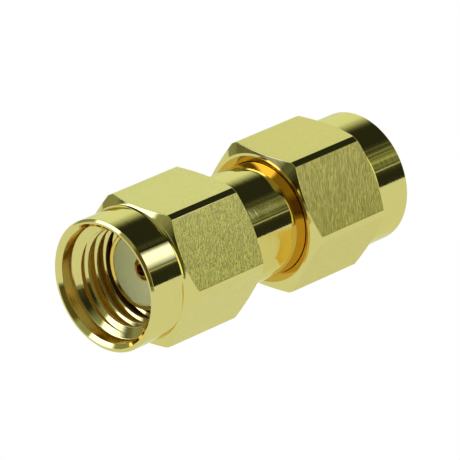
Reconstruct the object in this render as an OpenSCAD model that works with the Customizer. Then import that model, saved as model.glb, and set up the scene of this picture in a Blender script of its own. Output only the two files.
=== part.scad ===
// Coax adapter, plug to plug: two coupling nuts that turn freely on one turned body,
// with a double-ended socket contact held between two insulators.
// It lies along X on one flat of each nut, with its centre at the origin. The near end is at -X.

/* [Coupling nut] */
// Length of one nut, from its mouth to its rear face
nut_len = 8.36; // [7.8:0.02:10]
// Distance between the rear faces of the two nuts
nut_gap = 4.2; // [3:0.1:8]
// Hexagon across its flats
hex_af = 8; // [7.9:0.05:9]
// How much of the hexagon's sharp corners is turned away, along the radius
hex_corner_cut = 0.106; // [0.02:0.002:0.2]
// Slope of the hexagon's turned front, measured from the end face
hex_front_slope = 30; // [20:1:45]
// Slope of the hexagon's turned rear, measured from the end face
hex_rear_slope = 25; // [15:1:40]
// Diameter of the round nose
nose_d = 7.68; // [7.6:0.02:7.9]
// Length of the round nose in front of the hexagon
nose_len = 2.48; // [1.8:0.02:3]
// Chamfer of the nose's outer edge
nose_chamfer = 0.13; // [0.05:0.01:0.18]
// Outer diameter of the flat rim on the rear face
rim_d = 7.72; // [7.5:0.02:7.9]
// Width of that flat rim
rim_w = 0.15; // [0.05:0.01:0.2]
// Depth of the countersink inside the rim
rear_sink_depth = 0.3; // [0.1:0.05:0.5]

/* [Mouth and thread] */
// Diameter of the counterbore at the mouth
mouth_d = 6.76; // [6.5:0.02:6.86]
// Depth of that counterbore
mouth_depth = 0.96; // [0.5:0.02:1.2]
// Chamfer of the counterbore's edge
mouth_chamfer = 0.22; // [0.05:0.01:0.26]
// Slope of the lead-in cone, measured from the end face
lead_in_slope = 30; // [20:1:45]
// Minor diameter of the quarter-inch, 36 per inch thread
thread_minor_d = 5.66; // [5.58:0.01:5.74]
// Free space between the gasket and the end of the thread
thread_runout = 0.5; // [0.2:0.05:0.8]

/* [Body] */
// Diameter of the barrel that the nuts turn on
barrel_d = 6.56; // [6.4:0.02:6.66]
// Chamfer at the barrel's shoulders
barrel_chamfer = 0.1; // [0.05:0.01:0.2]
// Outer diameter of the contact sleeve at each end
sleeve_d = 4.59; // [4.5:0.01:4.62]
// Length of each sleeve, from the barrel's shoulder
sleeve_len = 2.6; // [2.2:0.05:3]
// How far each sleeve's end lies inside the nut's mouth
sleeve_setback = 2.86; // [2.4:0.02:3.2]
// Chamfer at the sleeves' outer edges
sleeve_chamfer = 0.06; // [0.02:0.01:0.1]
// Bore that holds the insulators
bore_d = 4.15; // [4.05:0.01:4.25]

/* [Snap ring] */
// Width of the ring along the axis
ring_w = 0.5; // [0.4:0.05:0.7]
// Wall of the ring along the radius
ring_wall = 0.75; // [0.6:0.05:0.8]
// How far the ring reaches into the nut
ring_bite = 0.2; // [0.1:0.02:0.25]
// Width of the ring's opening
ring_opening = 1.4; // [0.8:0.1:2.5]
// Distance from the barrel's shoulder to the middle of the ring
ring_setback = 1.1; // [0.9:0.05:1.6]

/* [Gasket] */
// Outer diameter of the gasket
gasket_d = 6.2; // [5.6:0.05:6.3]
// Thickness of the gasket
gasket_t = 0.7; // [0.4:0.05:0.8]

/* [Contact] */
// Diameter of the contact
contact_d = 1.27; // [1.2:0.01:1.4]
// Diameter of the hole in each socket
socket_d = 0.94; // [0.9:0.01:1]
// Depth of that hole
socket_depth = 3; // [2.4:0.1:4]
// Width of the edge left between the socket's hole and the tip's taper
socket_edge = 0.03; // [0.01:0.01:0.06]
// Length of the tip's outer taper
tip_taper = 0.11; // [0.05:0.01:0.3]
// Width of the saw cuts that split each socket into four fingers
slot_w = 0.12; // [0.06:0.01:0.14]
// Length of those saw cuts
slot_len = 2; // [1:0.1:2.2]
// Diameter of the collar in the middle, which the insulators trap
collar_d = 2; // [1.6:0.1:3]
// Length of that collar
collar_len = 1; // [0.4:0.1:2]
// How far each socket's tip lies inside the sleeve's end
tip_recess = 0.14; // [0:0.01:0.3]

/* [Clearances] */
// Gap around the barrel inside the nut's rear bore
barrel_gap = 0.05; // [0.04:0.01:0.12]
// Gap between the snap ring and the body's groove, on each face
ring_body_gap = 0.05; // [0.02:0.01:0.08]
// Gap between the snap ring and the nut's groove, on each face
ring_nut_gap = 0.08; // [0.05:0.01:0.1]
// Gap between the gasket's hole and the sleeve
gasket_gap = 0.05; // [0.02:0.01:0.1]
// Room around the gasket inside the nut, which it swells into when it is pressed
gasket_room = 0.3; // [0.15:0.05:0.35]
// Gap around the insulators and around the contact
seat_gap = 0.01; // [0.005:0.005:0.03]

/* [Hidden] */
$fn = 96;

gold = "#C9B75E";
contact_gold = "#D9AE45";
white_insulator = "#EEECE0";
red_rubber = "#9C4A33";

// Stations along the axis, each a distance from the adapter's centre
rear_z = nut_gap / 2;
mouth_z = rear_z + nut_len;
hex_front_z = mouth_z - nose_len;
sleeve_z = mouth_z - sleeve_setback;
shoulder_z = sleeve_z - sleeve_len;
gasket_z = shoulder_z + gasket_t;
thread_end_z = gasket_z + thread_runout;
ring_z = shoulder_z - ring_setback;
tip_z = sleeve_z - tip_recess;

// Radii that follow from the driving sizes
hex_corner_r = hex_af / sqrt(3) - hex_corner_cut;
rear_bore_r = barrel_d / 2 + barrel_gap;
ring_outer_r = rear_bore_r + ring_bite;
ring_inner_r = ring_outer_r - ring_wall;

// Extra length of a cutter past the face that it opens
overcut = 1;

// A solid of revolution about Z, from [radius, height] points
module turned(points) {
    rotate_extrude()
        polygon(points);
}

// Lays a shape that points along +Z along the axis: towards +X, or towards -X at the near end
module at_end(near) {
    rotate([0, 0, near ? 180 : 0])
        rotate([0, 90, 0])
            children();
}

// Outer shape of a nut as the lathe leaves it: rear rim, corner circle, nose and its chamfer
module nut_envelope() {
    turned([
        [0, rear_z],
        [rim_d / 2, rear_z],
        [hex_corner_r, rear_z + (hex_corner_r - rim_d / 2) * tan(hex_rear_slope)],
        [hex_corner_r, hex_front_z - (hex_corner_r - nose_d / 2) * tan(hex_front_slope)],
        [nose_d / 2, hex_front_z],
        [nose_d / 2, mouth_z - nose_chamfer],
        [nose_d / 2 - nose_chamfer, mouth_z],
        [0, mouth_z],
    ]);
}

// Hexagon bar that the nut is turned from, with a flat at the top and at the bottom
module hex_bar() {
    translate([0, 0, rear_z])
        rotate([0, 0, 30])
            cylinder(d = hex_af / cos(30), h = nut_len, $fn = 6);
}

// Everything that is bored out of a nut, from the rear countersink to the mouth
module nut_hollow() {
    thread_r = thread_minor_d / 2;
    lead_in_z = mouth_z - mouth_depth;
    sink_r = rim_d / 2 - rim_w;
    sink_slope = (sink_r - rear_bore_r) / rear_sink_depth;
    turned([
        [0, rear_z - overcut],
        [sink_r + sink_slope * overcut, rear_z - overcut],
        [rear_bore_r, rear_z + rear_sink_depth],
        [rear_bore_r, thread_end_z],
        [thread_r, thread_end_z],
        [thread_r, lead_in_z - (mouth_d / 2 - thread_r) * tan(lead_in_slope)],
        [mouth_d / 2, lead_in_z],
        [mouth_d / 2, mouth_z - mouth_chamfer],
        [mouth_d / 2 + mouth_chamfer + overcut, mouth_z + overcut],
        [0, mouth_z + overcut],
    ]);
}

// Chamber round the gasket, from the barrel's shoulder to the end of the thread
module gasket_chamber() {
    translate([0, 0, shoulder_z])
        cylinder(r = gasket_d / 2 + gasket_room, h = thread_end_z - shoulder_z);
}

// Groove for the snap ring, cut inside the nut or round the body
module ring_groove(inner_r, outer_r, gap) {
    half_w = ring_w / 2 + gap;
    turned([
        [inner_r, ring_z - half_w],
        [outer_r, ring_z - half_w],
        [outer_r, ring_z + half_w],
        [inner_r, ring_z + half_w],
    ]);
}

// Coupling nut, turned and milled from hexagon bar in one piece
module coupling_nut() {
    difference() {
        intersection() {
            hex_bar();
            nut_envelope();
        }
        nut_hollow();
        gasket_chamber();
        ring_groove(ring_inner_r, ring_outer_r + ring_nut_gap, ring_nut_gap);
    }
}

// Half of the body: barrel, shoulder and sleeve
module body_half() {
    difference() {
        turned([
            [bore_d / 2, 0],
            [barrel_d / 2, 0],
            [barrel_d / 2, shoulder_z - barrel_chamfer],
            [barrel_d / 2 - barrel_chamfer, shoulder_z],
            [sleeve_d / 2, shoulder_z],
            [sleeve_d / 2, sleeve_z - sleeve_chamfer],
            [sleeve_d / 2 - sleeve_chamfer, sleeve_z],
            [bore_d / 2, sleeve_z],
        ]);
        ring_groove(ring_inner_r - ring_body_gap, ring_outer_r, ring_body_gap);
    }
}

// Open ring of square wire that sits half in the body and half in the nut
module snap_ring() {
    difference() {
        ring_groove(ring_inner_r, ring_outer_r, 0);
        translate([-ring_outer_r, 0, ring_z])
            cube([2 * ring_outer_r, ring_opening, ring_w + overcut], center = true);
    }
}

// Flat ring at the foot of a sleeve, which the mating connector presses on
module gasket() {
    hole_r = sleeve_d / 2 + gasket_gap;
    turned([
        [hole_r, shoulder_z],
        [gasket_d / 2, shoulder_z],
        [gasket_d / 2, gasket_z],
        [hole_r, gasket_z],
    ]);
}

// Insulator from one end: flush with the sleeve, with a pocket for half of the contact's collar
module insulator() {
    outer_r = bore_d / 2 - seat_gap;
    hole_r = contact_d / 2 + seat_gap;
    pocket_r = collar_d / 2 + seat_gap;
    pocket_z = collar_len / 2 + seat_gap;
    turned([
        [pocket_r, 0],
        [outer_r, 0],
        [outer_r, sleeve_z],
        [hole_r, sleeve_z],
        [hole_r, pocket_z],
        [pocket_r, pocket_z],
    ]);
}

// Half of the contact: half a collar, a rod and a socket with a tapered tip, split into four fingers
module contact_half() {
    socket_r = socket_d / 2;
    difference() {
        turned([
            [0, 0],
            [collar_d / 2, 0],
            [collar_d / 2, collar_len / 2],
            [contact_d / 2, collar_len / 2],
            [contact_d / 2, tip_z - tip_taper],
            [socket_r + socket_edge, tip_z],
            [socket_r, tip_z],
            [socket_r, tip_z - socket_depth],
            [0, tip_z - socket_depth],
        ]);
        for (turn = [45, 135])
            rotate([0, 0, turn])
                translate([-contact_d / 2 - overcut, -slot_w / 2, tip_z - slot_len])
                    cube([contact_d + 2 * overcut, slot_w, slot_len + overcut]);
    }
}

module near_nut() { color(gold) at_end(true) coupling_nut(); }
module far_nut() { color(gold) at_end(false) coupling_nut(); }

module adapter_body() {
    color(gold)
        union() {
            at_end(true) body_half();
            at_end(false) body_half();
        }
}

module near_snap_ring() { color(contact_gold) at_end(true) snap_ring(); }
module far_snap_ring() { color(contact_gold) at_end(false) snap_ring(); }
module near_gasket() { color(red_rubber) at_end(true) gasket(); }
module far_gasket() { color(red_rubber) at_end(false) gasket(); }
module near_insulator() { color(white_insulator) at_end(true) insulator(); }
module far_insulator() { color(white_insulator) at_end(false) insulator(); }

module contact() {
    color(contact_gold)
        union() {
            at_end(true) contact_half();
            at_end(false) contact_half();
        }
}

near_nut();
far_nut();
adapter_body();
near_snap_ring();
far_snap_ring();
near_gasket();
far_gasket();
near_insulator();
far_insulator();
contact();
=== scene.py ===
"""Coax adapter, plug to plug: its nuts, body, insulators and contact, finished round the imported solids."""

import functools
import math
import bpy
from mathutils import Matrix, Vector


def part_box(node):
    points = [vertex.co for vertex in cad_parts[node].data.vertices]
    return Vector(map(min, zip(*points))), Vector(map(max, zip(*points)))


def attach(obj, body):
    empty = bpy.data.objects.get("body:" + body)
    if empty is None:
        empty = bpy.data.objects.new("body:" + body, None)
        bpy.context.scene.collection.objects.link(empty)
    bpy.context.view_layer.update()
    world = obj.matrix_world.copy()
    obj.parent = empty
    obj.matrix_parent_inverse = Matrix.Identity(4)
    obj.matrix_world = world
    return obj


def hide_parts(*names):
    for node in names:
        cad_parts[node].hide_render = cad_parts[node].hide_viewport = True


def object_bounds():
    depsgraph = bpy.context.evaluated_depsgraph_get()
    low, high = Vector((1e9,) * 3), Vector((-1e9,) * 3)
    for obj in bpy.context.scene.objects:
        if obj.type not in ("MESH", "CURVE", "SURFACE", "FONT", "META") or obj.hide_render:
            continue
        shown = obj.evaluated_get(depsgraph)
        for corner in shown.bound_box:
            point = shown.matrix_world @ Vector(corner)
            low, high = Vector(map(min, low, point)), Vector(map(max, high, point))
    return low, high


bl_info = {
    "name": "Coax Adapter",
    "version": (1, 0, 0),
    "blender": (4, 5, 0),
    "location": "View3D > Sidebar > Adapter",
    "description": "Models a coax adapter with two free-turning coupling nuts and its studio stage",
    "category": "Add Mesh",
}

import bpy
from bpy.props import FloatProperty, FloatVectorProperty, PointerProperty
from mathutils import Matrix, Vector
from mathutils.kdtree import KDTree

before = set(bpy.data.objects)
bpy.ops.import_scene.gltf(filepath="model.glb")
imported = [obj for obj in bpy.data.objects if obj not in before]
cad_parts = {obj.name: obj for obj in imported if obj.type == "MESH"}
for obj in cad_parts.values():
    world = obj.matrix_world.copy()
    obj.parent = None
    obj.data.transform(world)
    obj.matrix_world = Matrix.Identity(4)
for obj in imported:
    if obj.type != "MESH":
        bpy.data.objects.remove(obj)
CAD_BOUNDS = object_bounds()

# One millimetre of the frame, in metres
MM = 0.001
# Pieces are modelled with one unit to the millimetre, so that merging and bevels work at this size
BENCH = 1 / MM
# Two points this close, in bench units, are one point
MERGE = 1e-4
# Edges of a piece that turn by more than this stay sharp when it is shaded
SHARP = math.radians(35)
# Flats of the hexagon
SIDES = 6
# Places of the finishes in a nut's list of materials
TURNED, BRUSHED, TAPPED, BORED = range(4)
UP = Vector((0, 0, 1))
# Sides of the floor, in metres
FLOOR_SIZE = (4, 4)
# Heading behind the camera where the room's count of degrees starts again
SEAM = -110


def srgb(code):
    """Linear colour of an sRGB hex code such as #C9B75E."""
    parts = [int(code[i:i + 2], 16) / 255 for i in (1, 3, 5)]
    return tuple(p / 12.92 if p <= 0.04045 else ((p + 0.055) / 1.055) ** 2.4 for p in parts)


def node_span(node, axis):
    """Lowest and highest place of a solid along one axis, in bench units."""
    low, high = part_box(node)
    return low[axis] * BENCH, high[axis] * BENCH


NUT_REAR, NUT_MOUTH = node_span("far_nut", 0)
HEX_FLAT = node_span("far_nut", 2)[1]
HEX_CORNER = node_span("far_nut", 1)[1]
SLEEVE_END = node_span("adapter_body", 0)[1]
BARREL_R = node_span("adapter_body", 2)[1]
GASKET_FOOT, GASKET_FACE = node_span("far_gasket", 0)
GASKET_R = node_span("far_gasket", 2)[1]
RING_REAR, RING_FRONT = node_span("far_snap_ring", 0)
RING_OUTER_R = node_span("far_snap_ring", 1)[1]
INSULATOR_R = node_span("far_insulator", 2)[1]
CONTACT_TIP = node_span("contact", 0)[1]
COLLAR_R = node_span("contact", 2)[1]
FLOOR_Z = CAD_BOUNDS[0].z


def length(name, description, default):
    """A length property in millimetres."""
    description += ", in millimetres"
    return FloatProperty(name=name, description=description, default=default, min=0.001, precision=3)


def angle(name, description, degrees):
    """An angle property, given in degrees."""
    return FloatProperty(name=name, description=description, default=math.radians(degrees), subtype="ANGLE")


def tint(name, description, code):
    """A colour property, given as an sRGB hex code."""
    return FloatVectorProperty(name=name, description=description, default=srgb(code), subtype="COLOR")


class NutSizes(bpy.types.PropertyGroup):
    """Sizes of a coupling nut that its solid's box doesn't give."""

    front_slope: angle("Front slope", "Slope of the hexagon's turned front from the end face", 30)
    rear_slope: angle("Rear slope", "Slope of the hexagon's turned rear from the end face", 25)
    nose_r: length("Nose radius", "Radius of the round nose", 3.84)
    nose_len: length("Nose length", "Length of the nose in front of the hexagon", 2.48)
    nose_chamfer: length("Nose chamfer", "Chamfer of the nose's outer edge", 0.13)
    root_r: length("Nose root radius", "Fillet between the nose and the hexagon's turned front", 0.25)
    rim_r: length("Rim radius", "Outer radius of the flat rim at the rear", 3.86)
    rim_w: length("Rim width", "Width of that rim", 0.15)
    sink_depth: length("Countersink depth", "Depth of the rear countersink", 0.3)
    bore_r: length("Rear bore radius", "Radius of the bore round the barrel", 3.33)
    mouth_r: length("Mouth radius", "Radius of the counterbore at the mouth", 3.38)
    mouth_depth: length("Mouth depth", "Depth of that counterbore", 0.96)
    foot_r: length("Counterbore foot radius", "Fillet between the counterbore and the lead-in cone", 0.12)
    mouth_chamfer: length("Mouth chamfer", "Chamfer of the counterbore's edge", 0.22)
    lead_in_slope: angle("Lead-in slope", "Slope of the lead-in cone from the end face", 30)
    thread_minor_r: length("Thread minor radius", "Radius of the thread's crests", 2.83)
    thread_major_r: length("Thread major radius", "Radius of the thread's roots", 3.2)
    thread_pitch: length("Thread pitch", "Pitch of the thread, 36 to the inch", 25.4 / 36)
    thread_runout: length("Thread run-out", "Space between the gasket and the thread", 0.5)
    thread_start: length("Thread start", "Step back of its start, so of where it leaves the lead-in", 0.19)
    thread_edge_r: length("Thread edge radius", "Rounding of the thread's crests and roots", 0.05)
    chamber_r: length("Chamber radius", "Radius of the chamber round the gasket", 3.4)
    groove_gap: length("Groove gap", "Gap round the snap ring in the nut's groove", 0.08)
    edge_r: length("Edge radius", "Rounding that tumbling and plating leave on the turned edges", 0.04)
    hex_edge_r: length("Hexagon edge radius", "Rounding of the long edges beside the hexagon's flats", 0.08)
    rear_gap: length("Rear gap", "Gap that the countersink's rolled-in edge leaves round the barrel", 0.02)
    rear_lip: length("Rear lip", "Length of that rolled-in edge", 0.06)


class BodySizes(bpy.types.PropertyGroup):
    """Sizes of the turned body, the insulators and the contact."""

    sleeve_r: length("Sleeve radius", "Outer radius of the contact sleeves", 2.295)
    bore_r: length("Bore radius", "Radius of the bore that holds the insulators", 2.075)
    sleeve_edge: length("Sleeve edge", "Width of the flat edge at the sleeves' ends", 0.05)
    sleeve_sink: length("Sleeve countersink", "Depth of the shallow countersink inside that edge", 0.07)
    face_dip: length("Face dip", "How far the insulators' faces dip at the contact", 0.25)
    groove_gap: length("Groove gap", "Gap round the snap ring in the body's groove", 0.05)
    ring_wall: length("Ring wall", "Wall of the snap ring along the radius", 0.75)
    shoulder_chamfer: length("Shoulder chamfer", "Chamfer of the barrel's shoulders", 0.1)
    edge_r: length("Edge radius", "Rounding of the turned edges", 0.03)
    contact_r: length("Contact radius", "Radius of the contact", 0.635)
    collar_len: length("Collar length", "Length of the contact's collar", 1.0)
    socket_r: length("Socket radius", "Radius of the hole in each socket", 0.47)
    socket_depth: length("Socket depth", "Depth of that hole", 3.0)
    tip_taper: length("Tip taper", "Length of the taper outside each socket's tip", 0.11)
    lip_r: length("Lip radius", "Radius that the fingers' lips are closed in to", 0.355)
    lip_len: length("Lip length", "Length over which the fingers close in", 0.35)
    lip_edge: length("Lip edge", "Width of the edge at the fingers' ends", 0.03)
    slot_w: length("Slot width", "Width of the saw cuts, nearly shut where the fingers close in", 0.05)
    slot_len: length("Slot length", "Length of those saw cuts", 2.0)
    seat_gap: length("Seat gap", "Gap round the insulators and the contact", 0.01)
    gasket_gap: length("Gasket gap", "Gap between a gasket's hole and its sleeve", 0.05)
    gasket_edge_r: length("Gasket edge radius", "Rounding of the gaskets' moulded edges", 0.12)


class FinishColours(bpy.types.PropertyGroup):
    """Colours of the adapter's finishes."""

    gold: tint("Gold plate", "Gold plate on the nuts and the body", "#ECCD82")
    # The near flats' paler gold is painted light, brighter than the plate; the far flats keep nearly the
    # plate's own gold
    flat_gold: tint("Flats' gold", "Paler gold plate on the near nut's milled flats", "#F4D68D")
    far_flat_gold: tint("Far flats' gold", "Deeper gold plate on the far nut's milled flats", "#EFCE82")
    gold_edge: tint("Gold at a glance", "Tint of gold plate seen at a glancing angle", "#FAF0D2")
    contact_gold: tint("Contact gold", "Heavier gold on the contact and the sleeves' ends", "#F0BE5C")
    # The insulators' colour is yellowed and brightened past white fluoropolymer: painted gold light from the
    # nut's mouth round them
    insulator: tint("Insulator", "White fluoropolymer of the insulators", "#FFEEB2")
    rubber: tint("Gasket", "Silicone of the gaskets", "#B8573C")
    bronze: tint("Ring bronze", "Spring bronze of the snap rings", "#C08A4A")


class StageSizes(bpy.types.PropertyGroup):
    """Camera of the photograph and the stage's lights."""

    azimuth: angle("Azimuth", "Where the camera stands round the adapter", -47.26)
    elevation: angle("Elevation", "How far the camera looks down", 24.34)
    roll: angle("Roll", "Turn of the camera about its own axis", 0.56)
    distance: FloatProperty(name="Distance", description="From the camera to the adapter's centre",
                            default=0.31265, unit="LENGTH")
    aside: FloatProperty(name="Aside", description="Camera's step to its right", default=-0.0002,
                         unit="LENGTH")
    lens: FloatProperty(name="Lens", description="Focal length on a 36 mm sensor, in millimetres",
                        default=437.4)
    light: tint("Light", "Cool white of the wall behind", "#DCFBFF")
    floor_light: tint("Floor light", "White of the floor as the gold mirrors it", "#DFF9F1")
    front_light: tint("Front light", "Yellower light from the front of the room", "#DEFBBE")
    warm_light: tint("Warm light", "Floor between the nuts, warmed by the gold", "#DBF0D6")
    thrown_light: tint("Thrown light", "Gold light that the barrel throws on the floor", "#D6BE48")
    thrown_edge: tint("Thrown edge", "Paler light where the far nut shades that throw", "#DAD06C")
    dim_light: tint("Dim light", "Greener light of the room's dim sides", "#DEFBD3")
    lamp_light: tint("Lamp light", "Bluer light of the lamps", "#C4DEFF")
    room: FloatProperty(name="Room", description="Brightness of the dark room round the stage", default=0.03)


def tidy_selection():
    """Leaves edit mode and deselects everything."""
    if bpy.context.object and bpy.context.object.mode != "OBJECT":
        bpy.ops.object.mode_set(mode="OBJECT")
    bpy.ops.object.select_all(action="DESELECT")


def make_active(obj):
    """Selects one object alone and makes it the active one."""
    tidy_selection()
    obj.select_set(True)
    bpy.context.view_layer.objects.active = obj


def arc(centre, radius, start, stop, step):
    """Points of an arc in the [x, r] plane, from start to stop in degrees, at most step apart."""
    count = max(1, math.ceil(abs(stop - start) / step - MERGE))
    angles = [math.radians(start + (stop - start) * i / count) for i in range(count + 1)]
    return [(centre[0] + radius * math.cos(a), centre[1] + radius * math.sin(a)) for a in angles]


def rounded(points, radius, step=12, hollows=True, share=1 / 3):
    """Outline of [x, r] points with its corners rounded, but no further than a share of an edge.

    Without hollows, corners that a clockwise outline turns inwards at stay sharp, as a tool leaves them.
    """
    outline = [points[0]]
    for before, corner, after in zip(points, points[1:], points[2:]):
        here = Vector(corner)
        back = Vector(before) - here
        ahead = Vector(after) - here
        opening = back.angle(ahead)
        reach = min(radius / math.tan(opening / 2), back.length * share, ahead.length * share)
        round_r = reach * math.tan(opening / 2)
        hollow = back.cross(ahead) < 0
        if math.pi - opening < math.radians(step) or round_r < MERGE or (hollow and not hollows):
            outline.append(corner)
            continue
        inwards = (back.normalized() + ahead.normalized()).normalized()
        middle = here + inwards * (round_r / math.sin(opening / 2))
        first = here + back.normalized() * reach - middle
        last = here + ahead.normalized() * reach - middle
        start = math.degrees(math.atan2(first.y, first.x))
        turn = math.degrees(first.angle_signed(last))
        outline += arc(middle, round_r, start, start - turn, step)
    outline.append(points[-1])
    return outline


def trace(name, outline):
    """An edge chain through [x, r] points in the XZ plane, drawn by extruding one vertex."""
    tidy_selection()
    bpy.ops.mesh.primitive_plane_add(size=1, location=(0, 0, 0))
    obj = bpy.context.object
    obj.name = name
    bpy.ops.object.mode_set(mode="EDIT")
    bpy.ops.mesh.select_all(action="SELECT")
    bpy.ops.mesh.merge(type="CENTER")
    place = Vector((0, 0))
    for index, point in enumerate(outline):
        step = Vector(point) - place
        move = {"value": (step.x, 0, step.y)}
        if index == 0:
            bpy.ops.transform.translate(**move)
        else:
            bpy.ops.mesh.extrude_vertices_move(TRANSFORM_OT_translate=move)
        place = Vector(point)
    return obj


def turn_on_lathe(name, outline, steps=192):
    """A solid of revolution about X from [x, r] points, as a lathe leaves it."""
    obj = trace(name, outline)
    bpy.ops.mesh.select_all(action="SELECT")
    bpy.ops.mesh.spin(steps=steps, angle=2 * math.pi, center=(0, 0, 0), axis=(1, 0, 0))
    bpy.ops.mesh.select_all(action="SELECT")
    bpy.ops.mesh.remove_doubles(threshold=MERGE)
    bpy.ops.mesh.normals_make_consistent(inside=False)
    bpy.ops.object.mode_set(mode="OBJECT")
    return obj


def closed(points):
    """The same outline, back to its first point."""
    return points + [points[0]]


def cut(obj, tool):
    """Cuts a tool's shape out of a piece, and takes the tool away."""
    make_active(obj)
    modifier = obj.modifiers.new("cut", "BOOLEAN")
    modifier.operation = "DIFFERENCE"
    modifier.solver = "EXACT"
    modifier.object = tool
    bpy.ops.object.modifier_apply(modifier=modifier.name)
    bpy.data.objects.remove(tool)


def finish_mesh(obj):
    """Smooth shading that flat faces keep out of, then the step from the bench to metres."""
    make_active(obj)
    bpy.ops.object.shade_smooth_by_angle(angle=SHARP)
    modifier = obj.modifiers.new("normals", "WEIGHTED_NORMAL")
    modifier.weight = 50
    modifier.keep_sharp = True
    bpy.ops.object.modifier_apply(modifier=modifier.name)
    obj.scale = (MM, MM, MM)
    bpy.ops.object.transform_apply(location=True, rotation=True, scale=True)


def half_turn_copy(obj, name):
    """A copy with its own mesh, turned half a turn about the vertical: the same piece at the other end."""
    make_active(obj)
    bpy.ops.object.duplicate(linked=False)
    twin = bpy.context.object
    twin.name = name
    bpy.ops.transform.rotate(value=math.pi, orient_axis="Z", center_override=(0, 0, 0))
    bpy.ops.object.transform_apply(location=True, rotation=True, scale=True)
    return twin


def add_node(tree, kind, settings=None, **inputs):
    """Adds a node, sets its properties, and sets or links its input sockets by name or number."""
    node = tree.nodes.new(kind)
    for key, value in (settings or {}).items():
        setattr(node, key, value)
    for key, value in inputs.items():
        socket = node.inputs[int(key[1:])] if key[0] == "_" else node.inputs[key.replace("_", " ")]
        if isinstance(value, bpy.types.NodeSocket):
            tree.links.new(value, socket)
        else:
            socket.default_value = value
    return node


def new_material(name, **sockets):
    """A node material, with its shader's sockets set by name, its output and its Object coordinates."""
    material = bpy.data.materials.new(name)
    material.use_nodes = True
    tree = material.node_tree
    tree.nodes.clear()
    shader = add_node(tree, "ShaderNodeBsdfPrincipled", **sockets)
    add_node(tree, "ShaderNodeOutputMaterial", Surface=shader.outputs[0])
    place = add_node(tree, "ShaderNodeTexCoord").outputs["Object"]
    return material, tree, shader, place


def lathe_place(tree, place):
    """Place along the axis and distance from it, the coordinates that a lathe's marks follow."""
    apart = add_node(tree, "ShaderNodeSeparateXYZ", Vector=place)
    across = add_node(tree, "ShaderNodeCombineXYZ", Y=apart.outputs["Y"], Z=apart.outputs["Z"])
    radius = add_node(tree, "ShaderNodeVectorMath", {"operation": "LENGTH"}, _0=across.outputs[0])
    both = add_node(tree, "ShaderNodeCombineXYZ", X=apart.outputs["X"], Y=radius.outputs["Value"])
    return both.outputs[0]


def every(millimetres):
    """Scale of a pattern that repeats at a real size."""
    return 1 / (millimetres * MM)


def duller(colour, share):
    """A share of a colour's brightness."""
    return tuple(part * share for part in colour)


def give_surface(tree, shader, relief, depth, patches, colours, gloss):
    """Gives a shader its relief, so many millimetres deep, its patches of two colours and its gloss."""
    bump = add_node(tree, "ShaderNodeBump", Height=relief.outputs[0], Distance=depth * MM)
    tone = add_node(tree, "ShaderNodeMix", {"data_type": "RGBA"}, _0=patches.outputs[0],
                    _6=(*colours[0], 1), _7=(*colours[1], 1))
    tree.links.new(bump.outputs[0], shader.inputs["Normal"])
    tree.links.new(tone.outputs[2], shader.inputs["Base Color"])
    tree.links.new(gloss.outputs[0], shader.inputs["Roughness"])


def turned_gold(name, colour, edge):
    """Bright gold plate over lathe-turned brass: a mirror that tool rings and patchy plating break up."""
    material, tree, shader, place = new_material(name, Metallic=1, Specular_Tint=(*edge, 1))
    # Broken tool rings of about 0.03 mm, drawn 0.25 mm apart with finer ones among them so that they show
    drawn = add_node(tree, "ShaderNodeMapping", Vector=place, Scale=(every(0.25), every(1.2), every(1.2)))
    rings = add_node(tree, "ShaderNodeTexNoise", Vector=drawn.outputs[0], Scale=1, Detail=2)
    # Patches of thinner and duller plate, about 0.8 mm across
    patches = add_node(tree, "ShaderNodeTexNoise", Vector=place, Scale=every(0.8), Detail=3)
    gloss = add_node(tree, "ShaderNodeMapRange", Value=patches.outputs[0], From_Min=0.3, From_Max=0.7,
                     To_Min=0.05, To_Max=0.09)
    give_surface(tree, shader, rings, 0.0025, patches, (colour, duller(colour, 0.95)), gloss)
    return material


def brushed_gold(name, colour, edge, mark_gap, mark_len, mark_depth):
    """Gold plate over milled hexagon flats: cutter marks across a flat draw the gloss out along the axis."""
    material, tree, shader, place = new_material(name, Metallic=1, Specular_Tint=(*edge, 1), Anisotropic=0.5)
    to_world = {"vector_type": "VECTOR", "convert_from": "OBJECT", "convert_to": "WORLD"}
    axis = add_node(tree, "ShaderNodeVectorTransform", to_world, Vector=(1, 0, 0))
    tree.links.new(axis.outputs[0], shader.inputs["Tangent"])
    # Place along the axis, slanted by the feed of the cutter, and place round the hexagon
    apart = add_node(tree, "ShaderNodeSeparateXYZ", Vector=place)
    turn = add_node(tree, "ShaderNodeMath", {"operation": "ARCTAN2"}, _0=apart.outputs["Y"],
                    _1=apart.outputs["Z"])
    around = add_node(tree, "ShaderNodeMath", {"operation": "MULTIPLY"}, _0=turn.outputs[0],
                      _1=-HEX_FLAT * MM)
    slant = add_node(tree, "ShaderNodeMath", {"operation": "MULTIPLY_ADD"}, _0=around.outputs[0], _1=0.45,
                     _2=apart.outputs["X"])
    # Cutter marks as fine as a milled flat's, 0.016 to 0.024 mm apart, broken up every 0.34 to 0.6 mm
    marks = add_node(tree, "ShaderNodeCombineXYZ", X=slant.outputs[0], Y=around.outputs[0])
    drawn = add_node(tree, "ShaderNodeMapping", Vector=marks.outputs[0],
                     Scale=(every(mark_gap), every(mark_len), 1))
    grain = add_node(tree, "ShaderNodeTexNoise", {"noise_dimensions": "2D"}, Vector=drawn.outputs[0],
                     Scale=1, Detail=1)
    # Sandy tone of the plate over those marks, about 0.12 mm across
    sand = add_node(tree, "ShaderNodeTexNoise", Vector=place, Scale=every(0.12), Detail=2)
    gloss = add_node(tree, "ShaderNodeMapRange", Value=grain.outputs[0], From_Min=0.3, From_Max=0.7,
                     To_Min=0.15, To_Max=0.2)
    give_surface(tree, shader, grain, mark_depth, sand, (colour, duller(colour, 0.85)), gloss)
    return material


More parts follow.
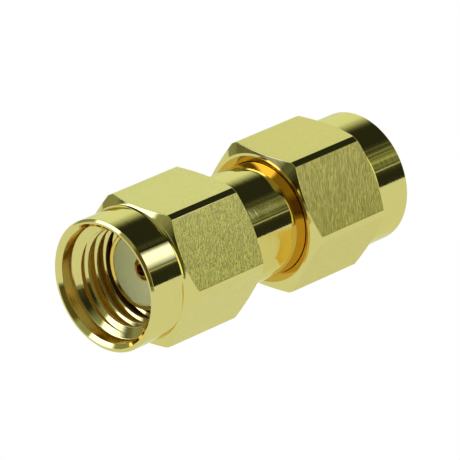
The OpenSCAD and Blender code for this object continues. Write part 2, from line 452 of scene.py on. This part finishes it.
def cut_gold(name, colour, edge, roughest):
    """Gold plate over what was tapped, bored or drilled, or stands deep in a mouth: duller than outside."""
    material, tree, shader, place = new_material(name, Metallic=1, Specular_Tint=(*edge, 1))
    # Cutting marks of about 0.02 mm round the axis, drawn 0.07 mm apart so that they show
    marks = add_node(tree, "ShaderNodeTexNoise", {"noise_dimensions": "2D"},
                     Vector=lathe_place(tree, place), Scale=every(0.07), Detail=1)
    gloss = add_node(tree, "ShaderNodeMapRange", Value=marks.outputs[0], From_Min=0.3, From_Max=0.7,
                     To_Min=roughest * 2 / 3, To_Max=roughest)
    give_surface(tree, shader, marks, 0.001, marks, (colour, duller(colour, 0.93)), gloss)
    return material


def turned_fluoropolymer(colour):
    """White fluoropolymer faced on a lathe: waxy and matt, a little see-through, with fine rings."""
    material, tree, shader, place = new_material("turned_fluoropolymer", IOR=1.36, Subsurface_Weight=0.3,
                                                 Subsurface_Scale=0.3 * MM)
    # Facing rings of about 0.05 mm, drawn 0.12 mm apart so that they show
    rings = add_node(tree, "ShaderNodeTexNoise", {"noise_dimensions": "2D"},
                     Vector=lathe_place(tree, place), Scale=every(0.12), Detail=2)
    # Faint cloudiness of the sintered powder, about 0.6 mm across
    clouds = add_node(tree, "ShaderNodeTexNoise", Vector=place, Scale=every(0.6), Detail=3)
    gloss = add_node(tree, "ShaderNodeMapRange", Value=rings.outputs[0], To_Min=0.35, To_Max=0.55)
    give_surface(tree, shader, rings, 0.004, clouds, (colour, duller(colour, 0.9)), gloss)
    return material


def moulded_silicone(colour):
    """Moulded silicone rubber: matt and slightly dusty, with the fine grain of its mould."""
    material, tree, shader, place = new_material("moulded_silicone", IOR=1.41)
    # Mould grain of about 0.02 mm, drawn 0.06 mm across so that it shows
    grain = add_node(tree, "ShaderNodeTexNoise", Vector=place, Scale=every(0.06), Detail=3)
    # Grey dust in patches of about 0.5 mm
    dust = add_node(tree, "ShaderNodeTexNoise", Vector=place, Scale=every(0.5), Detail=4)
    dusty = [part + 0.03 for part in duller(colour, 0.75)]
    gloss = add_node(tree, "ShaderNodeMapRange", Value=dust.outputs[0], To_Min=0.5, To_Max=0.8)
    give_surface(tree, shader, grain, 0.006, dust, (colour, dusty), gloss)
    return material


def drawn_bronze(colour):
    """Spring bronze coiled from drawn wire: a dull metal gloss with die lines that run round the ring."""
    material, tree, shader, place = new_material("drawn_spring_bronze", Metallic=1)
    # Die lines of about 0.02 mm, drawn 0.06 mm apart so that they show
    lines = add_node(tree, "ShaderNodeTexNoise", {"noise_dimensions": "2D"},
                     Vector=lathe_place(tree, place), Scale=every(0.06), Detail=2)
    # Tarnish in patches of about 0.7 mm
    tarnish = add_node(tree, "ShaderNodeTexNoise", Vector=place, Scale=every(0.7), Detail=3)
    gloss = add_node(tree, "ShaderNodeMapRange", Value=lines.outputs[0], To_Min=0.25, To_Max=0.4)
    give_surface(tree, shader, lines, 0.002, tarnish, (colour, duller(colour, 0.7)), gloss)
    return material


class ADAPTER_OT_coupling_nuts(bpy.types.Operator):
    """Turn, mill and thread the two coupling nuts"""

    bl_idname = "adapter.coupling_nuts"
    bl_label = "Coupling Nuts"

    def execute(self, context):
        sizes = context.scene.adapter_nut
        colours = context.scene.adapter_colours
        section = self.bar_section(sizes)
        columns = 2 * SIDES * (len(section) - 1)
        nut = turn_on_lathe("far_coupling_nut", self.outline(sizes, HEX_CORNER), columns)
        self.mill_flats(nut, sizes, section)
        cut(nut, self.tap(sizes))
        finish_mesh(nut)
        self.give_finishes(nut, sizes, colours)
        twin = half_turn_copy(nut, "near_coupling_nut")
        # The far nut's flats were milled with a coarser feed
        nut.data.materials[BRUSHED] = brushed_gold(
            "coarse_brushed_gold_plate", colours.far_flat_gold, colours.gold_edge,
            mark_gap=0.024, mark_len=0.6, mark_depth=0.005)
        for obj, side in ((nut, "far"), (twin, "near")):
            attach(obj, side + "_coupling")
            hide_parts(side + "_nut")
        return {"FINISHED"}

    def outline(self, sizes, reach):
        """The nut's wall cut along its axis, all round, where the hexagon reaches out to a given radius."""
        front = NUT_MOUTH - sizes.nose_len
        sink_r = sizes.rim_r - sizes.rim_w
        thread_end = GASKET_FACE + sizes.thread_runout
        lead_in = NUT_MOUTH - sizes.mouth_depth
        core_start = lead_in - (sizes.mouth_r - sizes.thread_minor_r) * math.tan(sizes.lead_in_slope)
        groove_r = RING_OUTER_R + sizes.groove_gap
        cone_start = (front - (reach - sizes.nose_r) * math.tan(sizes.front_slope), reach)
        nose_end = (NUT_MOUTH - sizes.nose_chamfer, sizes.nose_r)
        mouth_edge = (NUT_MOUTH - sizes.mouth_chamfer, sizes.mouth_r)
        thread_edge = (core_start, sizes.thread_minor_r)
        points = [
            (NUT_REAR + sizes.sink_depth + sizes.rear_lip, sizes.bore_r),
            (NUT_REAR + sizes.sink_depth, BARREL_R + sizes.rear_gap),
            (NUT_REAR, sink_r),
            (NUT_REAR, sizes.rim_r),
            (NUT_REAR + (reach - sizes.rim_r) * math.tan(sizes.rear_slope), reach),
            *rounded([cone_start, (front, sizes.nose_r), nose_end], sizes.root_r, step=8, share=0.8),
            (NUT_MOUTH, sizes.nose_r - sizes.nose_chamfer),
            (NUT_MOUTH, sizes.mouth_r + sizes.mouth_chamfer),
            *rounded([mouth_edge, (lead_in, sizes.mouth_r), thread_edge], sizes.foot_r, step=8),
            (thread_end, sizes.thread_minor_r),
            (thread_end, sizes.chamber_r),
            (GASKET_FOOT, sizes.chamber_r),
            (GASKET_FOOT, sizes.bore_r),
            (RING_FRONT + sizes.groove_gap, sizes.bore_r),
            (RING_FRONT + sizes.groove_gap, groove_r),
            (RING_REAR - sizes.groove_gap, groove_r),
            (RING_REAR - sizes.groove_gap, sizes.bore_r),
        ]
        return rounded(closed(points), sizes.edge_r, hollows=False)

    def bar_section(self, sizes):
        """Angle and radius of the hexagon bar's section, from a flat's middle to a corner's middle."""
        half_width = math.sqrt(HEX_CORNER ** 2 - HEX_FLAT ** 2)
        # Points every 2.5 degrees across the flat, up to 25 degrees from its middle
        across = [(HEX_FLAT * math.tan(math.radians(2.5) * i), HEX_FLAT) for i in range(11)]
        corner = (HEX_CORNER * math.sin(math.pi / SIDES), HEX_CORNER * math.cos(math.pi / SIDES))
        points = rounded(across + [(half_width, HEX_FLAT), corner], sizes.hex_edge_r)
        return [(math.atan2(y, z), math.hypot(y, z)) for y, z in points]

    def mill_flats(self, nut, sizes, section):
        """Slides each point of the turned blank along the lathe's outline until the six flats are cut."""
        blank = self.outline(sizes, HEX_CORNER)
        finder = KDTree(len(blank))
        for index, (x, r) in enumerate(blank):
            finder.insert((x, r, 0), index)
        finder.balance()
        cuts = [self.outline(sizes, reach) for _, reach in section]
        if any(len(outline) != len(blank) for outline in cuts):
            raise RuntimeError("The hexagon's outline changes its number of points round the nut")
        half = len(section) - 1
        for vertex in nut.data.vertices:
            x, y, z = vertex.co
            index = finder.find((x, math.hypot(y, z), 0))[1]
            column = round(math.atan2(y, z) * SIDES * half / math.pi)
            flat = round(column / (2 * half))
            aside = column - 2 * half * flat
            turn = flat * 2 * math.pi / SIDES + math.copysign(section[abs(aside)][0], aside)
            place, radius = cuts[abs(aside)][index]
            vertex.co = (place, radius * math.sin(turn), radius * math.cos(turn))

    def tap(self, sizes):
        """Right-hand thread as a tap cuts it: a 60 degree groove wound from the lead-in to the run-out."""
        depth = sizes.thread_major_r - sizes.thread_minor_r
        # An inside thread's root is a flat of an eighth of the pitch, and each flank leans by 30 degrees
        root_half = sizes.thread_pitch / 16
        crest_half = root_half + depth * math.tan(math.radians(30))
        # Beyond the crests the tap flares out at 15 degrees, clear of the bore
        flare = 0.1
        flare_r = sizes.thread_minor_r - flare * math.tan(math.radians(15))
        start = GASKET_FACE + sizes.thread_runout - sizes.thread_pitch - sizes.thread_start
        outline = rounded([
            (start - crest_half - flare, flare_r),
            (start - crest_half, sizes.thread_minor_r),
            (start - root_half, sizes.thread_major_r),
            (start + root_half, sizes.thread_major_r),
            (start + crest_half, sizes.thread_minor_r),
            (start + crest_half + flare, flare_r),
        ], sizes.thread_edge_r)
        groove = trace("tap", closed(outline))
        bpy.ops.mesh.select_all(action="SELECT")
        bpy.ops.mesh.remove_doubles(threshold=MERGE)
        bpy.ops.object.mode_set(mode="OBJECT")
        modifier = groove.modifiers.new("winding", "SCREW")
        modifier.axis = "X"
        modifier.screw_offset = sizes.thread_pitch
        # Six turns reach from the run-out past the lead-in
        modifier.iterations = 6
        modifier.steps = modifier.render_steps = 96
        bpy.ops.object.modifier_apply(modifier=modifier.name)
        bpy.ops.object.mode_set(mode="EDIT")
        bpy.ops.mesh.select_all(action="SELECT")
        bpy.ops.mesh.fill_holes(sides=0)
        bpy.ops.mesh.select_all(action="SELECT")
        bpy.ops.mesh.normals_make_consistent(inside=False)
        bpy.ops.object.mode_set(mode="OBJECT")
        return groove

    def give_finishes(self, nut, sizes, colours):
        """Turned plate all over, but brushed on the flats, tapped in the thread and bored at the mouth."""
        gold, edge = colours.gold, colours.gold_edge
        finishes = {
            TURNED: turned_gold("turned_gold_plate", gold, edge),
            # The near nut's flats take the paler gold, painted light
            BRUSHED: brushed_gold("brushed_gold_plate", colours.flat_gold, edge,
                                  mark_gap=0.016, mark_len=0.34, mark_depth=0.0042),
            TAPPED: cut_gold("tapped_gold_plate", gold, edge, roughest=0.6),
            BORED: cut_gold("bored_gold_plate", gold, edge, roughest=0.26),
        }
        nut.data.materials.clear()
        for place in sorted(finishes):
            nut.data.materials.append(finishes[place])
        thread_end = (GASKET_FACE + sizes.thread_runout) * MM
        # How far the normal of a milled or turned face may be off
        slack = 0.001
        for face in nut.data.polygons:
            depth = face.center.dot(face.normal)
            radius = math.hypot(face.center.y, face.center.z)
            flat = abs(face.normal.x) < slack and abs(depth - HEX_FLAT * MM) < 2 * slack * MM
            in_mouth = radius < (sizes.mouth_r + MERGE) * MM and face.center.x > thread_end + MERGE * MM
            lead_in = abs(face.normal.x - math.cos(sizes.lead_in_slope)) < 10 * slack
            if flat:
                face.material_index = BRUSHED
            elif in_mouth and not lead_in:
                face.material_index = TAPPED if radius < (sizes.thread_major_r + MERGE) * MM else BORED


class ADAPTER_OT_body(bpy.types.Operator):
    """Turn the barrel with its contact sleeves"""

    bl_idname = "adapter.body"
    bl_label = "Body"

    def execute(self, context):
        sizes = context.scene.adapter_body
        ring_inner = RING_OUTER_R - sizes.ring_wall - sizes.groove_gap
        half = [
            (RING_REAR - sizes.groove_gap, BARREL_R),
            (RING_REAR - sizes.groove_gap, ring_inner),
            (RING_FRONT + sizes.groove_gap, ring_inner),
            (RING_FRONT + sizes.groove_gap, BARREL_R),
            (GASKET_FOOT - sizes.shoulder_chamfer, BARREL_R),
            (GASKET_FOOT, BARREL_R - sizes.shoulder_chamfer),
            (GASKET_FOOT, sizes.sleeve_r),
            (SLEEVE_END, sizes.sleeve_r),
            (SLEEVE_END, sizes.sleeve_r - sizes.sleeve_edge),
            (SLEEVE_END - sizes.sleeve_sink, sizes.bore_r),
        ]
        mirrored = [(-x, r) for x, r in reversed(half)]
        outline = rounded(closed(half + mirrored), sizes.edge_r)
        body = turn_on_lathe("barrel_and_sleeves", outline)
        finish_mesh(body)
        colours = context.scene.adapter_colours
        gold, edge = colours.gold, colours.gold_edge
        body.data.materials.append(turned_gold("turned_gold_body", gold, edge))
        body.data.materials.append(turned_gold("sleeve_gold_plate", colours.contact_gold, edge))
        body.data.materials.append(cut_gold("sleeve_side_gold_plate", gold, edge, roughest=0.5))
        barrel, sleeve_end, sleeve_side = range(3)
        for face in body.data.polygons:
            beyond_gasket = abs(face.center.x) > GASKET_FOOT * MM
            at_end = abs(face.center.x) > (SLEEVE_END - sizes.sleeve_sink) * MM
            face.material_index = sleeve_end if at_end else sleeve_side if beyond_gasket else barrel
        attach(body, "body")
        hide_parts("adapter_body")
        return {"FINISHED"}


class ADAPTER_OT_insulators(bpy.types.Operator):
    """Turn the two insulators that hold the contact"""

    bl_idname = "adapter.insulators"
    bl_label = "Insulators"

    def execute(self, context):
        sizes = context.scene.adapter_body
        hole_r = sizes.contact_r + sizes.seat_gap
        pocket_r = COLLAR_R + sizes.seat_gap
        pocket_x = sizes.collar_len / 2 + sizes.seat_gap
        outline = rounded(closed([
            (pocket_x, hole_r),
            (pocket_x, pocket_r),
            (0, pocket_r),
            (0, INSULATOR_R),
            (SLEEVE_END - sizes.sleeve_sink, INSULATOR_R),
            (SLEEVE_END - sizes.face_dip, hole_r),
        ]), sizes.edge_r)
        insulator = turn_on_lathe("far_white_insulator", outline)
        finish_mesh(insulator)
        # Its colour holds painted light, the gold glow inside the nut's mouth
        insulator.data.materials.append(turned_fluoropolymer(context.scene.adapter_colours.insulator))
        twin = half_turn_copy(insulator, "near_white_insulator")
        for obj, side in ((insulator, "far"), (twin, "near")):
            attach(obj, "body")
            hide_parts(side + "_insulator")
        return {"FINISHED"}


class ADAPTER_OT_contact(bpy.types.Operator):
    """Turn the centre contact and saw the fingers of its two sockets"""

    bl_idname = "adapter.contact"
    bl_label = "Contact"

    def execute(self, context):
        sizes = context.scene.adapter_body
        collar_x = sizes.collar_len / 2
        floor_x = CONTACT_TIP - sizes.socket_depth
        half = [
            (floor_x, 0),
            (floor_x, sizes.socket_r),
            (CONTACT_TIP - sizes.lip_len, sizes.socket_r),
            (CONTACT_TIP, sizes.lip_r),
            (CONTACT_TIP, sizes.lip_r + sizes.lip_edge),
            (CONTACT_TIP - sizes.tip_taper, sizes.contact_r),
            (collar_x, sizes.contact_r),
            (collar_x, COLLAR_R),
        ]
        mirrored = [(-x, r) for x, r in reversed(half)]
        contact = turn_on_lathe("socket_contact", rounded(half + mirrored, sizes.edge_r), 96)
        for end in (1, -1):
            for turn in (45, 135):
                cut(contact, self.saw_cut(sizes, end, turn))
        finish_mesh(contact)
        colours = context.scene.adapter_colours
        gold, edge = colours.contact_gold, colours.gold_edge
        contact.data.materials.append(turned_gold("contact_gold_plate", gold, edge))
        contact.data.materials.append(cut_gold("drilled_gold_plate", gold, edge, roughest=0.5))
        for face in contact.data.polygons:
            bored = math.hypot(face.center.y, face.center.z) < (sizes.socket_r + MERGE) * MM
            at_tip = abs(face.center.x) > (CONTACT_TIP - sizes.lip_edge) * MM
            face.material_index = int(bored and not at_tip)
        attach(contact, "body")
        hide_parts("contact")
        return {"FINISHED"}

    def saw_cut(self, sizes, end, turn):
        """Blade that splits one socket across its axis."""
        # The blade reaches past the socket, half of this at each side
        spare = 0.2
        tidy_selection()
        bpy.ops.mesh.primitive_cube_add(size=1)
        blade = bpy.context.object
        blade.scale = (sizes.slot_len + spare, 2 * sizes.contact_r + spare, sizes.slot_w)
        blade.rotation_euler = (math.radians(turn), 0, 0)
        blade.location = (end * (CONTACT_TIP + (spare - sizes.slot_len) / 2), 0, 0)
        bpy.ops.object.transform_apply(location=True, rotation=True, scale=True)
        return blade


class ADAPTER_OT_gaskets(bpy.types.Operator):
    """Mould the two flat gaskets at the feet of the sleeves"""

    bl_idname = "adapter.gaskets"
    bl_label = "Gaskets"

    def execute(self, context):
        sizes = context.scene.adapter_body
        hole_r = sizes.sleeve_r + sizes.gasket_gap
        middle = (GASKET_FOOT + GASKET_FACE) / 2
        outline = rounded(closed([
            (middle, hole_r),
            (GASKET_FOOT, hole_r),
            (GASKET_FOOT, GASKET_R),
            (GASKET_FACE, GASKET_R),
            (GASKET_FACE, hole_r),
        ]), sizes.gasket_edge_r)
        gasket = turn_on_lathe("far_flat_gasket", outline)
        finish_mesh(gasket)
        gasket.data.materials.append(moulded_silicone(context.scene.adapter_colours.rubber))
        twin = half_turn_copy(gasket, "near_flat_gasket")
        for obj, side in ((gasket, "far"), (twin, "near")):
            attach(obj, "body")
            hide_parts(side + "_gasket")
        return {"FINISHED"}


class ADAPTER_OT_snap_rings(bpy.types.Operator):
    """Give the two hidden snap rings their bronze"""

    bl_idname = "adapter.snap_rings"
    bl_label = "Snap Rings"

    def execute(self, context):
        bronze = drawn_bronze(context.scene.adapter_colours.bronze)
        for node in ("near_snap_ring", "far_snap_ring"):
            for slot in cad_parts[node].material_slots:
                slot.material = bronze
        return {"FINISHED"}


class ADAPTER_OT_stage(bpy.types.Operator):
    """Set up the floor, the cards that the gold mirrors, and the camera"""

    bl_idname = "adapter.stage"
    bl_label = "Stage"

    def execute(self, context):
        scene = context.scene
        sizes = scene.adapter_stage
        self.camera(scene, sizes)
        self.floor(sizes)
        self.slim_lamp(sizes)
        self.room(scene, sizes)
        scene.view_settings.view_transform = "Standard"
        return {"FINISHED"}

    def camera(self, scene, sizes):
        """Long lens at the photograph's viewing angle."""
        back = Vector((math.sin(sizes.azimuth) * math.cos(sizes.elevation),
                       -math.cos(sizes.azimuth) * math.cos(sizes.elevation), math.sin(sizes.elevation)))
        level = Vector((math.cos(sizes.azimuth), math.sin(sizes.azimuth), 0))
        right = Matrix.Rotation(sizes.roll, 3, back) @ level
        up = back.cross(right)
        lens = bpy.data.cameras.new("photograph_view")
        lens.sensor_width = 36
        lens.lens = sizes.lens
        camera = bpy.data.objects.new("photograph_view", lens)
        scene.collection.objects.link(camera)
        turn = Matrix((right, up, back)).transposed().to_4x4()
        camera.matrix_world = Matrix.Translation(back * sizes.distance + right * sizes.aside) @ turn
        scene.camera = camera

    def floor(self, sizes):
        """White floor for the camera, and two more that only the gold mirrors, the upper for the barrel."""
        below = Vector((0, 0, FLOOR_Z - 0.02 * MM))
        white = self.card("floor", below, UP, FLOOR_SIZE, (1, 1, 1), 1)
        white.visible_camera = True
        white.visible_glossy = white.visible_diffuse = False
        self.mirrored_floor("floor_glow", below, sizes, barrel="EXCLUDE")
        tree = self.mirrored_floor("thrown_glow", below + UP * (0.01 * MM), sizes, barrel="INCLUDE")
        # The upper one glows for the barrel, and lets the rest see through to the lower one
        glow = tree.nodes["Emission"]
        tree.links.new(self.thrown_light(tree, sizes), glow.inputs["Color"])
        clear = add_node(tree, "ShaderNodeBsdfTransparent")
        both = add_node(tree, "ShaderNodeAddShader", _0=glow.outputs[0], _1=clear.outputs[0])
        tree.links.new(both.outputs[0], tree.nodes["Material Output"].inputs["Surface"])

    def mirrored_floor(self, name, centre, sizes, barrel):
        """The floor as gold mirrors it, for the barrel alone or all but the barrel. Gives its nodes."""
        mirrored = self.card(name, centre, UP, FLOOR_SIZE, sizes.floor_light, 1)
        tree = mirrored.data.materials[0].node_tree
        # Past the left end the floor falls into shade, 40 to 70 mm away
        left = (-0.94, -0.34, 0)
        place = add_node(tree, "ShaderNodeTexCoord").outputs["Object"]
        away = add_node(tree, "ShaderNodeVectorMath", {"operation": "DOT_PRODUCT"}, _0=place, _1=left)
        fade = add_node(tree, "ShaderNodeMapRange", {"interpolation_type": "SMOOTHSTEP"},
                        Value=away.outputs["Value"], From_Min=40 * MM, From_Max=70 * MM, To_Min=1, To_Max=0.3)
        tree.links.new(fade.outputs[0], tree.nodes["Emission"].inputs["Strength"])
        lit = bpy.data.collections.new(name)
        lit.objects.link(bpy.data.objects["barrel_and_sleeves"])
        lit.collection_objects[0].light_linking.link_state = barrel
        mirrored.light_linking.receiver_collection = lit
        return tree

    def thrown_light(self, tree, sizes):
        """Colour of the floor where the barrel mirrors it: each of its stations mirrors a cone of light."""
        place = add_node(tree, "ShaderNodeTexCoord").outputs["Object"]
        apart = add_node(tree, "ShaderNodeSeparateXYZ", Vector=place)
        across = add_node(tree, "ShaderNodeCombineXYZ", Y=apart.outputs["Y"], Z=FLOOR_Z)
        away = add_node(tree, "ShaderNodeVectorMath", {"operation": "LENGTH"}, _0=across.outputs[0])
        # A cone widens by 1 mm in 0.9 mm, and starts 2.45 mm before its station
        cone = add_node(tree, "ShaderNodeMath", {"operation": "MULTIPLY_ADD"}, _0=away.outputs["Value"],
                        _1=-0.9, _2=apart.outputs["X"])
        # Close to the nut's foot, up to 1.2 mm of the throw is in shade
        shade = add_node(tree, "ShaderNodeMapRange", Value=apart.outputs["Y"],
                         From_Min=-5 * MM, From_Max=-2 * MM, To_Min=2.45 * MM, To_Max=1.25 * MM)
        station = add_node(tree, "ShaderNodeMath", {"operation": "ADD"}, _0=cone.outputs[0],
                           _1=shade.outputs[0])
        span = 3 * MM
        along = add_node(tree, "ShaderNodeMapRange", Value=station.outputs[0], From_Min=-span, From_Max=span)
        ramp = add_node(tree, "ShaderNodeValToRGB", Fac=along.outputs[0])
        # Millimetres along the barrel, and the colour there
        stops = ((-2.6, sizes.floor_light), (-2.0, sizes.warm_light), (0.05, sizes.warm_light),
                 (0.15, sizes.thrown_light), (0.7, sizes.thrown_edge), (1.5, sizes.thrown_edge),
                 (1.9, sizes.floor_light))
        while len(ramp.color_ramp.elements) < len(stops):
            ramp.color_ramp.elements.new(1)
        for element, (millimetres, colour) in zip(ramp.color_ramp.elements, stops):
            element.position = (millimetres * MM + span) / (2 * span)
            element.color = (*colour, 1)
        # Right by the nut's foot the gold of the throw is lost in the white of the floor
        lost = add_node(tree, "ShaderNodeMapRange", Value=apart.outputs["Y"],
                        From_Min=-3.6 * MM, From_Max=-2.6 * MM, To_Min=0, To_Max=0.8)
        mixed = add_node(tree, "ShaderNodeMix", {"data_type": "RGBA"}, _0=lost.outputs[0],
                         _6=ramp.outputs[0], _7=(*sizes.floor_light, 1))
        return mixed.outputs[2]

    def card(self, name, centre, normal, size, colour, strength, side=Vector((1, 0, 0))):
        """A glowing card that faces along a normal, with a given side, hidden from the camera."""
        tidy_selection()
        bpy.ops.mesh.primitive_plane_add(size=1)
        card = bpy.context.object
        card.name = name
        turn = Matrix((side, normal.cross(side), normal)).transposed().to_4x4()
        card.matrix_world = Matrix.Translation(centre) @ turn @ Matrix.Diagonal((*size, 1, 1))
        bpy.ops.object.transform_apply(location=True, rotation=True, scale=True)
        card.visible_camera = False
        material = bpy.data.materials.new(name)
        material.use_nodes = True
        tree = material.node_tree
        tree.nodes.clear()
        glow = add_node(tree, "ShaderNodeEmission", Color=(*colour, 1), Strength=strength)
        add_node(tree, "ShaderNodeOutputMaterial", Surface=glow.outputs[0])
        card.data.materials.append(material)
        return card

    def slim_lamp(self, sizes):
        """Soft lamp close to the near nose, for a bright streak along it that the other round parts lack."""
        # The streak's place on the nose, the way from there to the lamp, and the way along the lamp
        nose = Vector((-9.05, -2.96, 2.47)) * MM
        streak = Vector((0.669, -0.516, 0.534))
        along = Vector((0.743, 0.465, -0.481))
        centre = nose + streak * 0.12 - along * 0.0076
        size = (0.0247, 0.056)
        lamp = self.card("slim_lamp", centre, -streak, size, sizes.lamp_light, 1, along)
        tree = lamp.data.materials[0].node_tree
        place = add_node(tree, "ShaderNodeTexCoord").outputs["Object"]
        offset = add_node(tree, "ShaderNodeVectorMath", {"operation": "SUBTRACT"}, _0=place, _1=centre)
        across = add_node(tree, "ShaderNodeVectorMath", {"operation": "DOT_PRODUCT"}, _0=offset.outputs[0],
                          _1=streak.cross(along))
        level = 3
        # It fades slowly below and quickly above
        for dark, bright in ((-0.036, -0.002), (0.026, 0.008)):
            fade = add_node(tree, "ShaderNodeMapRange", {"interpolation_type": "SMOOTHSTEP"},
                            Value=across.outputs["Value"], From_Min=dark, From_Max=bright)
            faded = add_node(tree, "ShaderNodeMath", {"operation": "MULTIPLY"}, _0=level, _1=fade.outputs[0])
            level = faded.outputs[0]
        tree.links.new(level, tree.nodes["Emission"].inputs["Strength"])

    def room(self, scene, sizes):
        """Dark room with soft lights by heading and height, in degrees, which the camera sees as white."""
        world = bpy.data.worlds.new("studio_room")
        scene.world = world
        world.use_nodes = True
        tree = world.node_tree
        tree.nodes.clear()
        # Headings run from -110 to 250 degrees, so that their seam lies behind the camera
        outwards = add_node(tree, "ShaderNodeTexCoord").outputs["Generated"]
        turned = add_node(tree, "ShaderNodeMapping", Vector=outwards,
                          Rotation=(0, 0, math.radians(-SEAM - 180)))
        apart = add_node(tree, "ShaderNodeSeparateXYZ", Vector=turned.outputs[0])
        heading = add_node(tree, "ShaderNodeMath", {"operation": "ARCTAN2"}, _0=apart.outputs["Y"],
                           _1=apart.outputs["X"])
        height = add_node(tree, "ShaderNodeMath", {"operation": "ARCSINE"}, _0=apart.outputs["Z"])
        place = add_node(tree, "ShaderNodeCombineXYZ", X=heading.outputs[0], Y=height.outputs[0]).outputs[0]
        box = functools.partial(self.soft_box, tree, place)
        dim, front = sizes.dim_light, sizes.front_light
        glows = [
            add_node(tree, "ShaderNodeBackground", Color=(*dim, 1), Strength=sizes.room),
            # Wall behind, brightest near the floor
            box(heading=(0, 88), height=(-8, 39), soft=(4, 4), colour=dim, strength=0.36),
            box(heading=(-3, 88), height=(-8, 33), soft=(6, 7), colour=sizes.light, strength=0.74),
            # Lamp above the left end, with dim walls below and beside it
            box(heading=(112, 158), height=(19, 57), soft=(4, 4), colour=sizes.lamp_light, strength=4),
            box(heading=(88, 119), height=(-5, 36), soft=(4, 6), colour=dim, strength=0.32),
            box(heading=(119, 168), height=(-5, 16), soft=(6, 5), colour=dim, strength=0.17),
            box(heading=(158, 196), height=(20, 62), soft=(5, 5), colour=dim, strength=0.38),
            # Front of the room, with a bright ledge and what stands right and left of it
            box(heading=(-52, -22), height=(22, 40), soft=(6, 10), colour=front, strength=0.17, mottle=3.5),
            box(heading=(-60, -34), height=(18.6, 19.9), soft=(2, 0.7), colour=dim, strength=0.75),
            box(heading=(-34, 0), height=(-5, 28), soft=(8, 5), colour=front, strength=1.35),
            box(heading=(-100, -58), height=(0, 45), soft=(6, 8), colour=front, strength=1.5),
            box(heading=(192, 246), height=(0, 50), soft=(8, 8), colour=sizes.thrown_edge, strength=0.12),
            # Ceiling
            box(heading=(SEAM, SEAM + 360), height=(64, 95), soft=(1, 6), colour=dim, strength=0.35),
        ]
        total = glows[0].outputs[0]
        for glow in glows[1:]:
            total = add_node(tree, "ShaderNodeAddShader", _0=total, _1=glow.outputs[0]).outputs[0]
        backdrop = add_node(tree, "ShaderNodeBackground", Color=(1, 1, 1, 1))
        seen = add_node(tree, "ShaderNodeLightPath").outputs["Is Camera Ray"]
        mix = add_node(tree, "ShaderNodeMixShader", Fac=seen, _1=total, _2=backdrop.outputs[0])
        add_node(tree, "ShaderNodeOutputWorld", Surface=mix.outputs[0])

    def soft_box(self, tree, place, heading, height, soft, colour, strength, mottle=0):
        """A glow between two headings and two heights, with soft edges and perhaps spots, all in degrees."""
        middle = [math.radians((ends[0] + ends[1]) / 2) for ends in (heading, height)]
        middle[0] -= math.radians(SEAM + 180)
        fades = [math.radians(fade) for fade in soft]
        halves = [math.radians((ends[1] - ends[0]) / 2) / fade
                  for ends, fade in zip((heading, height), fades)]
        offset = add_node(tree, "ShaderNodeMapping", {"vector_type": "TEXTURE"}, Vector=place,
                          Location=(*middle, 0), Scale=(*fades, 1))
        away = add_node(tree, "ShaderNodeVectorMath", {"operation": "ABSOLUTE"}, _0=offset.outputs[0])
        past = add_node(tree, "ShaderNodeVectorMath", {"operation": "SUBTRACT"}, _0=away.outputs[0],
                        _1=(*halves, 0))
        apart = add_node(tree, "ShaderNodeSeparateXYZ", Vector=past.outputs[0])
        edge = add_node(tree, "ShaderNodeMath", {"operation": "MAXIMUM"}, _0=apart.outputs["X"],
                        _1=apart.outputs["Y"])
        fade = add_node(tree, "ShaderNodeMapRange", {"interpolation_type": "SMOOTHSTEP"},
                        Value=edge.outputs[0], From_Min=-1, From_Max=1, To_Min=strength, To_Max=0)
        level = fade.outputs[0]
        if mottle:
            # Spots from a third of the glow to more than twice as bright
            spots = add_node(tree, "ShaderNodeTexNoise", Vector=place, Scale=1 / math.radians(mottle),
                             Detail=3)
            contrast = add_node(tree, "ShaderNodeMapRange", Value=spots.outputs[0],
                                From_Min=0.4, From_Max=0.68, To_Min=0.3, To_Max=2.4)
            spotted = add_node(tree, "ShaderNodeMath", {"operation": "MULTIPLY"}, _0=level,
                               _1=contrast.outputs[0])
            level = spotted.outputs[0]
        return add_node(tree, "ShaderNodeBackground", Color=(*colour, 1), Strength=level)


class ADAPTER_PT_panel(bpy.types.Panel):
    """Steps of the adapter's build"""

    bl_label = "Coax Adapter"
    bl_space_type = "VIEW_3D"
    bl_region_type = "UI"
    bl_category = "Adapter"

    def draw(self, context):
        for operator in OPERATORS:
            self.layout.operator(operator.bl_idname)
        for group in PROPERTY_GROUPS:
            settings = getattr(context.scene, group)
            for key in settings.__annotations__:
                self.layout.prop(settings, key)


OPERATORS = (
    ADAPTER_OT_coupling_nuts,
    ADAPTER_OT_body,
    ADAPTER_OT_insulators,
    ADAPTER_OT_contact,
    ADAPTER_OT_gaskets,
    ADAPTER_OT_snap_rings,
    ADAPTER_OT_stage,
)
PROPERTY_GROUPS = {
    "adapter_nut": NutSizes,
    "adapter_body": BodySizes,
    "adapter_colours": FinishColours,
    "adapter_stage": StageSizes,
}


def register():
    for group in PROPERTY_GROUPS.values():
        bpy.utils.register_class(group)
    for key, group in PROPERTY_GROUPS.items():
        setattr(bpy.types.Scene, key, PointerProperty(type=group))
    for operator in OPERATORS:
        bpy.utils.register_class(operator)
    bpy.utils.register_class(ADAPTER_PT_panel)


def unregister():
    bpy.utils.unregister_class(ADAPTER_PT_panel)
    for operator in reversed(OPERATORS):
        bpy.utils.unregister_class(operator)
    for key, group in PROPERTY_GROUPS.items():
        delattr(bpy.types.Scene, key)
        bpy.utils.unregister_class(group)


def main():
    register()
    bpy.ops.adapter.coupling_nuts()
    bpy.ops.adapter.body()
    bpy.ops.adapter.insulators()
    bpy.ops.adapter.contact()
    bpy.ops.adapter.gaskets()
    bpy.ops.adapter.snap_rings()
    bpy.ops.adapter.stage()


if __name__ == "__main__":
    main()
